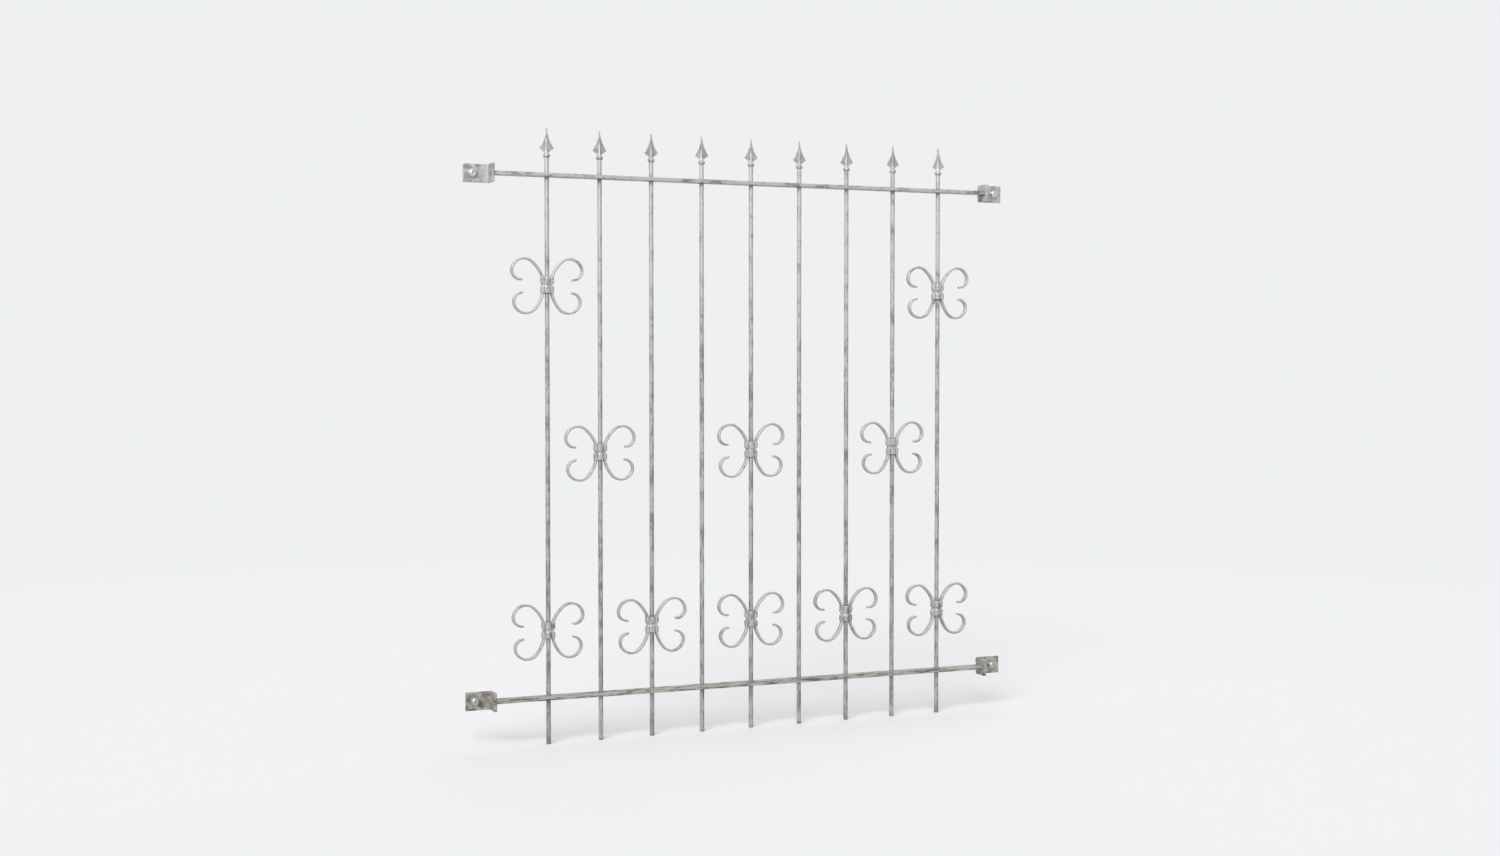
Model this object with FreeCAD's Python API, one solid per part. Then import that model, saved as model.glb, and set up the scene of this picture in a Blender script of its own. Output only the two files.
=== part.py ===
"""Window grille: round uprights through two flat rails, with spear finials, C-scrolls and wall brackets.

Millimetres and degrees, +Z up. The origin lies on the wall's face, midway between the four wall screws.
+X runs along the rails and +Y runs into the wall, so the grille stands at negative Y.
"""
import FreeCAD, Part
import math
import os

from FreeCAD import Vector

# Uprights
BAR_COUNT = 9
BAR_PITCH = 120.0
BAR_DIAMETER = 10.0
BAR_STANDOFF = 22.0  # wall face to the bars' axes
FOOT_DROP = 101.0  # lower rail's centre to the bars' feet
HEAD_RISE = 37.5  # upper rail's centre to the bars' tops

# Rails
RAIL_SPACING = 1137.5  # centre to centre
RAIL_DEPTH = 30.0
RAIL_HEIGHT = 8.0
RAIL_OVERHANG = 120.0  # last bar's axis to the rail's end
WELD_GAP = 0.1  # between pieces that are slipped together and then welded or clamped

# Wall brackets, cut from unequal angle
BRACKET_THICKNESS = 6.0
BRACKET_HEIGHT = 40.0
BRACKET_LEG = 60.0  # leg on the wall, measured from the flange's rail side
ROOT_RADIUS = 3.0  # fillet inside the angle
FLANGE_MARGIN = 3.0  # flange in front of the rail
SCREW_INSET = 20.0  # screw's axis from the leg's end

# Wall screws and washers
SCREW_DIAMETER = 10.0  # over the thread
SCREW_NECK = 9.0  # plain shank between the head and the wall's face
SCREW_EMBEDMENT = 70.0  # threaded shank behind the wall's face
SCREW_CLEARANCE = 0.5  # round the thread as it passes the bracket and washer
SCREW_HEAD_DIAMETER = 17.6
SCREW_HEAD_HEIGHT = 6.0
SCREW_HEAD_RIM = 1.8  # straight part of the head's side
SCREW_HEAD_FLAT = 8.0  # flat on the crown
WASHER_DIAMETER = 21.0
WASHER_THICKNESS = 2.0

# Spear finials, from the seat on the bar's top
BEAD_DIAMETER = 15.6
BEAD_HEIGHT = 9.5
BEAD_BAND = 3.5  # straight part of the bead's side
NECK_WIDTH = 9.2
BLADE_WIDTH = 33.0
BLADE_HEIGHT = 54.0
BLADE_THICKNESS = 3.0  # at the edges
SHOULDER_RISE = 10.0  # blade's foot to the underside of its shoulders
SHOULDER_BLUNT = 1.6  # height of the blunt shoulder
SIDE_HOLLOW = 3.6  # how far a side curves in from straight
TIP_WIDTH = 3.4
RIB_LENGTH = 42.0
RIB_TIP = 2.0  # width and depth of the rib where it runs out

# C-scrolls of flat strip, followed from the bar outwards
STRIP_THICKNESS = 6.0
STRIP_DEPTH = 12.0
HUG_LENGTH = 17.0  # straight run along the bar
BEND_RADIUS = 15.0
TOP_LEAN = 24.0  # arm's angle from the bar, above the collar
FOOT_LEAN = 15.0  # the same below it
ARM_LENGTH = 9.0
SHOULDER_RADIUS = 77.0
SHOULDER_TURN = 26.0
HEAD_RADIUS = 27.5
HEAD_TURN = 118.0
TIP_RADIUS = 19.6
TIP_TURN = 112.0

# Ribbed collars round a bar and its two strips
COLLAR_HEIGHT = 35.0
WAIST_HEIGHT = 6.0
WAIST_SLOPE = 2.0  # height over which a rib falls away to the waist
SIDE_WALL = 0.9  # outside the strips
FACE_WALL = 1.5  # in front of the strips and behind them, at the ribs
FACE_STEP = 0.5  # how far the waist's face lies behind the ribs' face
LOBE_WIDTH = 7.0  # flat on the swelling in front of the bar
LOBE_RISE = 1.8  # that swelling above the face
LOBE_FLARE = 3.0  # how far that swelling spreads on each side
CORNER_CUT = 1.2

# Rows of scrolls: height above the lower rail's centre, and the bars that carry them
LAST_BAR = BAR_COUNT - 1
SCROLL_ROWS = {
    "upper": (900.0, (0, LAST_BAR)),
    "middle": (535.0, (1, LAST_BAR // 2, LAST_BAR - 1)),
    "lower": (148.0, tuple(range(0, BAR_COUNT, 2))),
}

# Flats that stand for a round on small forms that repeat, which keeps the whole grille light
FLAT_ANGLE = 25.0  # round beads, screw heads, washers and punched holes
CURL_STEP = 20.0  # round the scrolls' curls, at most

# Places that follow from the sizes
UPPER_Z = RAIL_SPACING / 2
LOWER_Z = -RAIL_SPACING / 2
BAR_Y = -BAR_STANDOFF
BAR_RADIUS = BAR_DIAMETER / 2
RAIL_END = LAST_BAR * BAR_PITCH / 2 + RAIL_OVERHANG
SCREW_X = RAIL_END + BRACKET_LEG - SCREW_INSET
SCREW_HOLE = SCREW_DIAMETER / 2 + SCREW_CLEARANCE
HEAD_SEAT = -BRACKET_THICKNESS - WASHER_THICKNESS
STRIP_CENTRE = BAR_RADIUS + WELD_GAP + STRIP_THICKNESS / 2
STRIP_OUTSIDE = STRIP_CENTRE + STRIP_THICKNESS / 2


def bar_x(index):
    """Axis of an upright, counted from the left."""
    return (index - LAST_BAR / 2) * BAR_PITCH


def flat_face(points):
    """Plane face with straight sides."""
    return Part.Face(Part.makePolygon([*points, points[0]]))


def faceted(rings):
    """Solid with flat faces between rings of points, closed by the first and the last ring."""
    faces = [flat_face(rings[0]), flat_face(rings[-1])]
    for low, high in zip(rings, rings[1:]):
        for i, corner in enumerate(low):
            j = (i + 1) % len(low)
            faces.append(flat_face([corner, low[j], high[j], high[i]]))
    shell = Part.Shell(faces)
    shell.sewShape()
    return Part.makeSolid(shell)


def with_flats(profile, place):
    """Turned form with flats, from (radius, height) pairs along its axis.

    A radius reaches the corners between flats. place turns (across, across, height) into a point.
    """
    count = round(360 / FLAT_ANGLE)
    turns = [2 * math.pi * step / count for step in range(count)]
    rings = [[place(r * math.cos(a), r * math.sin(a), h) for a in turns] for r, h in profile]
    return faceted(rings)


def hole_cutter(radius, start, end, place):
    """Cutter with flats, which clears a round of this radius."""
    corner = radius / math.cos(math.pi / round(360 / FLAT_ANGLE))
    return with_flats([(corner, start), (corner, end)], place)


def arc(start, middle, end):
    return Part.Arc(start, middle, end).toShape()


def upright(index):
    """Round bar from its flat foot to the seat of its finial."""
    foot = LOWER_Z - FOOT_DROP
    top = UPPER_Z + HEAD_RISE
    return Part.makeCylinder(BAR_RADIUS, top - foot, Vector(bar_x(index), BAR_Y, foot))


def rail(level):
    """Flat bar laid flat, with a punched hole for each upright."""
    corner = Vector(-RAIL_END, BAR_Y - RAIL_DEPTH / 2, level - RAIL_HEIGHT / 2)
    flat = Part.makeBox(2 * RAIL_END, RAIL_DEPTH, RAIL_HEIGHT, corner)
    holes = []
    for index in range(BAR_COUNT):
        axis = Vector(bar_x(index), BAR_Y, level)
        holes.append(hole_cutter(
            BAR_RADIUS + WELD_GAP, -RAIL_HEIGHT, RAIL_HEIGHT, lambda x, y, z: axis + Vector(x, y, z)))
    return flat.cut(Part.makeCompound(holes))


def at_screw(side, level):
    """Placer for forms on a wall screw's axis, with heights along +Y from the wall's face."""
    return lambda x, z, y: Vector(side * SCREW_X + x, y, level + z)


def bracket(side, level):
    """Piece of angle: a leg on the wall with a screw hole, and a flange that the rail's end meets."""
    bottom = level - BRACKET_HEIGHT / 2
    front = -(BAR_STANDOFF + RAIL_DEPTH / 2 + FLANGE_MARGIN)
    leg_x = RAIL_END + BRACKET_LEG
    flange_x = RAIL_END + BRACKET_THICKNESS
    root_x = flange_x + ROOT_RADIUS
    root_y = -BRACKET_THICKNESS - ROOT_RADIUS
    diagonal = ROOT_RADIUS * math.sqrt(0.5)

    def at(x, y):
        return Vector(side * x, y, bottom)

    root_start = at(root_x, -BRACKET_THICKNESS)
    root_end = at(flange_x, root_y)
    corners = [root_end, at(flange_x, front), at(RAIL_END, front), at(RAIL_END, 0), at(leg_x, 0)]
    corners += [at(leg_x, -BRACKET_THICKNESS), root_start]
    sides = [Part.makeLine(a, b) for a, b in zip(corners, corners[1:])]
    root = arc(root_start, at(root_x - diagonal, root_y + diagonal), root_end)
    body = Part.Face(Part.Wire([*sides, root])).extrude(Vector(0, 0, BRACKET_HEIGHT))
    return body.cut(hole_cutter(SCREW_HOLE, -2 * BRACKET_THICKNESS, BRACKET_THICKNESS, at_screw(side, level)))


def washer(side, level):
    """Flat ring between a bracket and a screw's head."""
    place = at_screw(side, level)
    radius = WASHER_DIAMETER / 2
    disc = with_flats([(radius, HEAD_SEAT), (radius, -BRACKET_THICKNESS)], place)
    return disc.cut(hole_cutter(SCREW_HOLE, HEAD_SEAT - WASHER_THICKNESS, 0, place))


def wall_screw(side, level):
    """Round-headed screw: a plain neck through the washer and bracket, and a thicker shank in the wall."""
    place = at_screw(side, level)
    head_radius = SCREW_HEAD_DIAMETER / 2
    flat_radius = SCREW_HEAD_FLAT / 2
    crown = HEAD_SEAT - SCREW_HEAD_HEIGHT
    rim = HEAD_SEAT - SCREW_HEAD_RIM
    midway = math.sqrt(0.5)
    dome_radius = flat_radius + (head_radius - flat_radius) * midway
    dome = rim + (crown - rim) * midway
    head = [(head_radius, HEAD_SEAT), (head_radius, rim), (dome_radius, dome), (flat_radius, crown)]
    neck = [(SCREW_NECK / 2, 0), (SCREW_NECK / 2, HEAD_SEAT)]
    shank = Part.makeCylinder(SCREW_DIAMETER / 2, SCREW_EMBEDMENT, place(0, 0, 0), Vector(0, 1, 0))
    return with_flats(neck + head, place).fuse(shank)


def finial(index):
    """Spear: a turned bead on the bar's top, and a flat blade with a rib that fades towards the tip."""
    seat = Vector(bar_x(index), BAR_Y, UPPER_Z + HEAD_RISE)
    bead_radius = BEAD_DIAMETER / 2
    neck = NECK_WIDTH / 2
    bevel = (BEAD_HEIGHT - BEAD_BAND) / 2

    def at(x, y, z):
        return seat + Vector(x, y, z)

    profile = [(BAR_RADIUS, 0), (bead_radius, bevel), (bead_radius, bevel + BEAD_BAND), (neck, BEAD_HEIGHT)]
    bead = with_flats(profile, at)

    tip = BEAD_HEIGHT + BLADE_HEIGHT
    shoulder = BEAD_HEIGHT + SHOULDER_RISE
    front = -BLADE_THICKNESS / 2

    def blade_side(side):
        foot = at(side * neck, front, BEAD_HEIGHT)
        low = at(side * BLADE_WIDTH / 2, front, shoulder)
        high = at(side * BLADE_WIDTH / 2, front, shoulder + SHOULDER_BLUNT)
        end = at(side * TIP_WIDTH / 2, front, tip)
        rise = end - high
        inward = Vector(-side * rise.z, 0, side * rise.x).normalize()
        hollow = arc(high, (high + end) / 2 + inward * SIDE_HOLLOW, end)
        return foot, [Part.makeLine(foot, low), Part.makeLine(low, high), hollow], end

    left_foot, left, left_end = blade_side(-1)
    right_foot, right, right_end = blade_side(1)
    across_tip = Part.makeLine(right_end, left_end)
    across_foot = Part.makeLine(left_foot, right_foot)
    outline = Part.Wire([*right, across_tip, *reversed(left), across_foot])
    blade = Part.Face(outline).extrude(Vector(0, BLADE_THICKNESS, 0))

    def diamond(half, z):
        return [at(half, 0, z), at(0, half, z), at(-half, 0, z), at(0, -half, z)]

    rib = faceted([diamond(neck, BEAD_HEIGHT), diamond(RIB_TIP / 2, BEAD_HEIGHT + RIB_LENGTH)])
    return bead.fuse([blade, rib]).removeSplitter()


def arc_steps(radius, turn):
    """Equal (chord, turn) steps round an arc."""
    count = math.ceil(turn / CURL_STEP)
    step = turn / count
    return [(2 * radius * math.sin(math.radians(step / 2)), step)] * count


def curl_stations(lean):
    """Centre line of a curl, from the end of the run on the bar to the blunt tip.

    Each station is (outward, along, heading): distances from the bar's axis and the collar's middle, and the
    angle from the bar's own direction, which always turns outwards.
    """
    steps = arc_steps(BEND_RADIUS, lean) + [(ARM_LENGTH, 0.0)] + arc_steps(SHOULDER_RADIUS, SHOULDER_TURN)
    steps += arc_steps(HEAD_RADIUS, HEAD_TURN) + arc_steps(TIP_RADIUS, TIP_TURN)
    out, along, heading = STRIP_CENTRE, HUG_LENGTH / 2, 0.0
    stations = [(out, along, heading)]
    for chord, turn in steps:
        direction = math.radians(heading + turn / 2)
        out += chord * math.sin(direction)
        along += chord * math.cos(direction)
        heading += turn
        stations.append((out, along, heading))
    return stations


def scroll(index, level, side):
    """C-scroll of flat strip with its back on an upright, leaning further out above its collar than below."""
    half = STRIP_THICKNESS / 2

    def curl_side(lean, up, offset):
        """One long side of a curl, at an offset towards its inside."""
        points = []
        for out, along, heading in curl_stations(lean):
            x = out + offset * math.cos(math.radians(heading))
            z = along - offset * math.sin(math.radians(heading))
            points.append(Vector(bar_x(index) + side * x, BAR_Y - STRIP_DEPTH / 2, level + up * z))
        return points

    outline = [*curl_side(TOP_LEAN, 1, -half), *reversed(curl_side(TOP_LEAN, 1, half))]
    outline += [*curl_side(FOOT_LEAN, -1, half), *reversed(curl_side(FOOT_LEAN, -1, -half))]
    return flat_face(outline).extrude(Vector(0, STRIP_DEPTH, 0))


def strip_outside_at(height, lean):
    """How far a strip's outside lies from the bar's axis, at a height above the collar's middle."""
    past_hug = height - HUG_LENGTH / 2
    radius = BEND_RADIUS - STRIP_THICKNESS / 2
    bend_height = radius * math.sin(math.radians(lean))
    if past_hug <= 0:
        return STRIP_OUTSIDE
    if past_hug < bend_height:
        return STRIP_OUTSIDE + radius - math.sqrt(radius**2 - past_hug**2)
    bend_out = radius * (1 - math.cos(math.radians(lean)))
    return STRIP_OUTSIDE + bend_out + (past_hug - bend_height) * math.tan(math.radians(lean))


def collar(index, level):
    """Ribbed collar: two ribs and a waist, swelling in front of the bar, clasping the strips inside."""
    rim = COLLAR_HEIGHT / 2
    waist = WAIST_HEIGHT / 2
    rib = waist + WAIST_SLOPE
    hug = HUG_LENGTH / 2
    lobe_half = LOBE_WIDTH / 2
    narrow = STRIP_OUTSIDE + WELD_GAP
    top = strip_outside_at(rim, TOP_LEAN) + WELD_GAP
    foot = strip_outside_at(rim, FOOT_LEAN) + WELD_GAP
    inside_depth = STRIP_DEPTH / 2 + WELD_GAP
    rib_size = (max(top, foot) + SIDE_WALL, inside_depth + FACE_WALL)
    waist_size = (narrow + SIDE_WALL, inside_depth + FACE_WALL - FACE_STEP)

    def ring(quarter, z):
        """Ring of points mirrored from those of the quarter at +x, +y."""
        right = [(x, -y) for x, y in quarter] + [(x, y) for x, y in reversed(quarter)]
        points = right + [(-x, -y) for x, y in right]
        return [Vector(bar_x(index) + x, BAR_Y + y, level + z) for x, y in points]

    def outside(size, z):
        half_width, half_depth = size
        lobe = [(lobe_half, half_depth + LOBE_RISE), (lobe_half + LOBE_FLARE, half_depth)]
        corner = [(half_width - CORNER_CUT, half_depth), (half_width, half_depth - CORNER_CUT)]
        return ring(lobe + corner, z)

    def inside(half_width, z):
        return ring([(half_width, inside_depth)], z)

    lower = [outside(rib_size, -rim), outside(rib_size, -rib), outside(waist_size, -waist)]
    upper = [outside(waist_size, waist), outside(rib_size, rib), outside(rib_size, rim)]
    cavity = [inside(foot, -rim), inside(narrow, -hug), inside(narrow, hug), inside(top, rim)]
    return faceted(lower + upper).cut(faceted(cavity))


def build():
    """Every node of the grille, by name."""
    levels = {"upper": UPPER_Z, "lower": LOWER_Z}
    sides = {"left": -1, "right": 1}
    nodes = {}
    for index in range(BAR_COUNT):
        nodes[f"bar_{index + 1}"] = upright(index)
    nodes["spear_finials"] = Part.makeCompound([finial(index) for index in range(BAR_COUNT)])
    for level_name, level in levels.items():
        nodes[f"{level_name}_rail"] = rail(level)
        for side_name, side in sides.items():
            nodes[f"{level_name}_{side_name}_bracket"] = bracket(side, level)
    for row, (height, bars) in SCROLL_ROWS.items():
        level = LOWER_Z + height
        nodes[f"{row}_scrolls"] = Part.makeCompound([scroll(i, level, s) for i in bars for s in sides.values()])
        for index in bars:
            nodes[f"{row}_collar_{index + 1}"] = collar(index, level)
    corners = [(side, level) for side in sides.values() for level in levels.values()]
    nodes["wall_washers"] = Part.makeCompound([washer(*corner) for corner in corners])
    nodes["wall_screws"] = Part.makeCompound([wall_screw(*corner) for corner in corners])
    return nodes


os.makedirs("parts", exist_ok=True)
for node_name, shape in build().items():
    shape.exportStep(f"parts/{node_name}.step")
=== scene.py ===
"""Looks of a galvanised window grille, built on its packed CAD frame.

Every length in the code is in metres, and MM turns a size in millimetres into metres. +Z is up, +X runs
along the rails and +Y runs into the wall. Each piece is a surface worked out with numpy, in its place in
the frame.
"""
import math

import bmesh
import bpy
import numpy as np
from bpy.props import FloatProperty, FloatVectorProperty, PointerProperty
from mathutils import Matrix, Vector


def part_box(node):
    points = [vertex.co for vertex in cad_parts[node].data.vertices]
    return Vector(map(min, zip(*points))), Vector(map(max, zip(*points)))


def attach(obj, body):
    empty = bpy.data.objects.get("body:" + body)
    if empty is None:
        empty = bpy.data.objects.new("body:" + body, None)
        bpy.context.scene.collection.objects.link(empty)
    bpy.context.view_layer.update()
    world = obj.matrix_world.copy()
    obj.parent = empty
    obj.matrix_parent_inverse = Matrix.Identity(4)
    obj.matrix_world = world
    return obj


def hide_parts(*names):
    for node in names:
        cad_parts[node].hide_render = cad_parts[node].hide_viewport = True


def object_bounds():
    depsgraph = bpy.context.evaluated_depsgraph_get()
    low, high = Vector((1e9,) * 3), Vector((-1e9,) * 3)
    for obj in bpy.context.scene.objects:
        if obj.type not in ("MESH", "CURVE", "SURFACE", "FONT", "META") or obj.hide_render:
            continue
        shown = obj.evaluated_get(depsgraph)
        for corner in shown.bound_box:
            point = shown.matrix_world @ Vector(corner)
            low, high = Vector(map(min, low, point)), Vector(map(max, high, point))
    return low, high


bl_info = {
    "name": "Scrolled Window Grille",
    "version": (1, 0, 0),
    "blender": (4, 5, 0),
    "location": "View3D > Sidebar > Grille",
    "description": "Uprights, rails, scrolls, collars, finials and wall fixings of a galvanised grille",
    "category": "Object",
}

MM = 0.001
BODY = "root"
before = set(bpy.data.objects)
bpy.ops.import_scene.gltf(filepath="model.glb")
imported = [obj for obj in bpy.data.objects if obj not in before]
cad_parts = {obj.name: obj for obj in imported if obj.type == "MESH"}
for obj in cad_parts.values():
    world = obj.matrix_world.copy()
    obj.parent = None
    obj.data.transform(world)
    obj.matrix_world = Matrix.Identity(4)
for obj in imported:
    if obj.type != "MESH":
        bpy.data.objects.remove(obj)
CAD_BOX = [list(corner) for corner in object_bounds()]
SIDES = {"left": -1.0, "right": 1.0}
LEVELS = ("upper", "lower")
ROWS = ("upper", "middle", "lower")


def node_names(start):
    """CAD nodes whose names begin with these letters, in order."""
    return sorted(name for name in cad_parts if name.startswith(start))


def corners(node):
    """Lowest and highest corner of a CAD node's box."""
    return [np.array(corner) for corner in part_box(node)]


def middle(node):
    """Middle of a CAD node's box."""
    low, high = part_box(node)
    return np.array((low + high) / 2)


def extent(node):
    """Width, depth and height of a CAD node's box."""
    low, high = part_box(node)
    return np.array(high - low)


BARS = node_names("bar_")
BAR_Y = float(middle(BARS[0])[1])
BAR_RADIUS = float(extent(BARS[0])[0]) / 2
RAIL_SIZE = extent("upper_rail")
RAIL_Z = {level: float(middle(f"{level}_rail")[2]) for level in LEVELS}
COLLARS = {row: node_names(f"{row}_collar_") for row in ROWS}
FINIAL_BASE = float(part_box("spear_finials")[0].z)
FINIAL_HEIGHT = float(extent("spear_finials")[2])


# Sizes and colours that a user would change

def length(name, description, millimetres):
    """Property for a size, given in millimetres."""
    return FloatProperty(
        name=name, description=description, default=millimetres * MM, unit="LENGTH", precision=5)


def angle(name, description, degrees):
    """Property for an angle, given in degrees."""
    return FloatProperty(
        name=name, description=description, default=math.radians(degrees), subtype="ANGLE")


def linear(hex_code):
    """sRGB hex code as a linear colour with alpha."""
    values = np.array([int(hex_code[i:i + 2], 16) for i in (1, 3, 5)]) / 255
    values = np.where(values <= 0.04045, values / 12.92, ((values + 0.055) / 1.055) ** 2.4)
    return (*values.tolist(), 1.0)


def colour(name, description, hex_code):
    """Property for a colour, given as an sRGB hex code."""
    return FloatVectorProperty(
        name=name, description=description, default=linear(hex_code), size=4, min=0.0, max=1.0,
        subtype="COLOR")


class GRILLE_PG_bars(bpy.types.PropertyGroup):
    """Uprights and rails."""

    foot_chamfer: length("Foot chamfer", "Worn edge at the cut foot of each upright", 0.7)
    rail_edge: length("Rail edge radius", "Rolled corner of the flat rails", 0.9)
    fillet: length("Zinc fillet", "Zinc and weld that fill the corner where an upright meets a rail", 1.1)


class GRILLE_PG_scrolls(bpy.types.PropertyGroup):
    """Flat strip of the C-scrolls, followed from the upright outwards."""

    thickness: length("Strip thickness", "Thickness of the strip", 6.0)
    depth: length("Strip depth", "Depth of the strip, front to back", 12.0)
    edge: length("Edge radius", "Rounded long edges of the strip", 2.2)
    seat: length("Seat", "Gap between an upright and the strip", 0.1)
    hug: length("Straight run", "Straight run of the strip along its upright", 17.0)
    bend: length("Bend radius", "Bend where an arm leaves the upright", 15.0)
    top_lean: angle("Top lean", "Angle of the upper arm from the upright", 24.0)
    foot_lean: angle("Foot lean", "Angle of the lower arm from the upright", 15.0)
    arm: length("Arm", "Straight run of an arm", 9.0)
    shoulder_radius: length("Shoulder radius", "Radius of the slow curve of an arm", 77.0)
    shoulder_turn: angle("Shoulder turn", "Turn of the slow curve of an arm", 26.0)
    head_radius: length("Head radius", "Radius of a curl's head", 27.5)
    head_turn: angle("Head turn", "Turn of a curl's head", 118.0)
    tip_radius: length("Tip radius", "Radius of a curl's tip", 19.6)
    tip_turn: angle("Tip turn", "Turn of a curl's tip", 112.0)


class GRILLE_PG_collars(bpy.types.PropertyGroup):
    """Ribbed collars that clasp the strips to an upright."""

    waist_height: length("Waist height", "Height of the waist between the ribs", 3.2)
    slope: length("Slope", "Height over which a rib falls away to the waist", 2.4)
    waist_inset: length("Waist inset", "How far the waist lies inside the ribs at the sides", 3.0)
    face_inset: length("Face inset", "How far the waist lies behind the ribs at the front", 0.7)
    lobe: length("Lobe", "Swelling in front of the upright", 2.1)
    lobe_width: length("Lobe half-width", "Half-width of that swelling", 4.6)
    groove: length("Groove", "Depth of the groove on each side of the swelling", 1.2)
    rim_edge: length("Rim radius", "Rounded edge at both rims", 1.1)


class GRILLE_PG_finials(bpy.types.PropertyGroup):
    """Spear finials, measured from their seat on an upright."""

    bead_radius: length("Bead radius", "Largest radius of the bead", 7.8)
    bead_height: length("Bead height", "Height of the bead", 9.5)
    neck: length("Neck half-width", "Half-width of the neck under the blade", 4.6)
    neck_run: length("Neck run", "Straight run of the neck above the bead", 1.8)
    rib_half: length("Rib half-width", "Half-width of the rib where it leaves the neck", 2.6)
    shoulder_half: length("Shoulder half-width", "Half-width of the blade at its shoulders", 16.5)
    shoulder_low: length("Shoulder underside", "Height of the underside of the shoulders", 19.5)
    shoulder_high: length("Shoulder top", "Height of the top of the blunt shoulders", 21.1)
    side_hollow: length("Side hollow", "How far a side of the blade curves in from straight", 3.6)
    tip_half: length("Tip half-width", "Half-width of the blunt tip", 1.7)
    edge_half: length("Edge half-thickness", "Half-thickness of the blade at its edges", 1.5)
    dish: length("Dish", "How far the faces beside the rib are hollowed", 0.8)
    rib_end: length("Rib end", "Height at which the rib has run out", 51.5)
    weld: length("Bead weld", "Radius of the weld under the bead", 0.45)


class GRILLE_PG_fixings(bpy.types.PropertyGroup):
    """Wall brackets, washers, screws and welds."""

    plate: length("Angle thickness", "Thickness of the angle that the brackets are cut from", 6.0)
    root: length("Root radius", "Fillet inside the angle", 3.0)
    edge: length("Bracket edge radius", "Worn outside edges of a bracket", 0.9)
    washer_edge: length("Washer edge radius", "Rounded edge of a washer", 0.6)
    screw_inset: length("Screw inset", "Screw's axis from the end of its bracket", 20.0)
    head_radius: length("Head radius", "Radius of a screw's head", 8.8)
    head_rim: length("Head rim", "Straight side of a screw's head", 1.6)
    socket: length("Socket", "Half-width of the hexagon socket across its flats", 2.6)
    socket_depth: length("Socket depth", "Depth of the hexagon socket", 2.6)
    neck_radius: length("Neck radius", "Radius of the plain neck under a head", 4.5)
    shank_radius: length("Shank radius", "Radius of a screw's shank over its thread", 5.0)
    thread_pitch: length("Thread pitch", "Distance between turns of the thread", 4.5)
    thread_depth: length("Thread depth", "Depth of the thread", 1.3)
    weld_radius: length("Weld radius", "Radius of the weld round a rail's end", 1.7)


class GRILLE_PG_finish(bpy.types.PropertyGroup):
    """Colours of the weathered zinc, the grime and the stage."""

    zinc_light: colour("Light zinc", "Fresh grey of the zinc", "#BEBFBF")
    # Also painted on the lower screws as painted shade.
    zinc_dark: colour("Dark zinc", "Dull patches of the zinc", "#838484")
    zinc_warm: colour("Warm zinc", "Zinc with a film of dust", "#ABA59A")
    # Also used for dirt and painted shade in hollows, on up-facing faces and in the screw sockets.
    grime: colour("Grime", "Brown-grey dirt in streaks and on ledges", "#585650")
    # Also painted on narrow ridges of the zinc as a painted highlight.
    bright_zinc_and_highlight: colour("Bright zinc", "Plating of the screws, and thick zinc on ridges", "#DCDCDB")
    floor: colour("Floor", "Pale floor", "#EEF0F1")
    background: colour("Background", "Pale studio background", "#EEF0F1")


SETTINGS = {
    "grille_bars": GRILLE_PG_bars,
    "grille_scrolls": GRILLE_PG_scrolls,
    "grille_collars": GRILLE_PG_collars,
    "grille_finials": GRILLE_PG_finials,
    "grille_fixings": GRILLE_PG_fixings,
    "grille_finish": GRILLE_PG_finish,
}


# Surfaces

CREASE = math.radians(35.0)  # edges sharper than this stay crisp


def grid_quads(rows, columns, loop_rows):
    """Quads of a grid whose columns close on themselves, as an array of vertex numbers.

    Quad (i, j) joins row i to row i + 1 between columns j and j + 1, both taken round the loop.
    """
    i, j = np.meshgrid(np.arange(rows if loop_rows else rows - 1), np.arange(columns), indexing="ij")
    below = i * columns
    above = (i + 1) % rows * columns
    beside = (j + 1) % columns
    return np.stack([below + j, below + beside, above + beside, above + j], axis=-1).reshape(-1, 4)


def make_piece(name, grids, material, replaces=(), loop_rows=False, cap_parts=None):
    """Mesh piece from grids of points (rows, columns, 3), in place in the frame.

    Columns close on themselves. The first and the last row of a grid are closed by a cap, unless the rows
    close too, and cap_parts holds the columns of each of its faces where a cap has more than one.
    """
    points = []
    faces = []
    first = 0
    for grid in grids:
        rows, columns = grid.shape[:2]
        points.append(grid.reshape(-1, 3))
        faces += (grid_quads(rows, columns, loop_rows) + first).tolist()
        if not loop_rows:
            for part in cap_parts or [np.arange(columns)]:
                faces.append((first + part[::-1]).tolist())
                faces.append((first + (rows - 1) * columns + part).tolist())
        first += rows * columns
    mesh = bpy.data.meshes.new(name)
    mesh.from_pydata(np.concatenate(points).tolist(), [], faces)
    turn_outwards(mesh)
    mesh.polygons.foreach_set("use_smooth", np.ones(len(mesh.polygons), dtype=bool))
    mesh.set_sharp_from_angle(angle=CREASE)
    mesh.materials.append(material)
    piece = bpy.data.objects.new(name, mesh)
    bpy.context.scene.collection.objects.link(piece)
    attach(piece, BODY)
    if replaces:
        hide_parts(*replaces)


def turn_outwards(mesh):
    """Turns the faces of each closed shell in the mesh outwards."""
    shells = bmesh.new()
    shells.from_mesh(mesh)
    bmesh.ops.recalc_face_normals(shells, faces=shells.faces)
    shells.to_mesh(mesh)
    shells.free()


def full_turn(count):
    """Angles evenly round a circle."""
    return np.linspace(0.0, 2 * math.pi, count, endpoint=False)


def polar_grid(radii, heights):
    """Points about +Z at radius r and height h, with the angle growing evenly from column to column."""
    a = full_turn(radii.shape[1])
    return np.stack([radii * np.cos(a), radii * np.sin(a), np.broadcast_to(heights, radii.shape)], axis=-1)


def turned_surface(radii, heights, count):
    """Surface of revolution about +Z: all points at height h lie at radius r(h)."""
    return polar_grid(np.repeat(radii[:, None], count, axis=1), heights[:, None])


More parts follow.
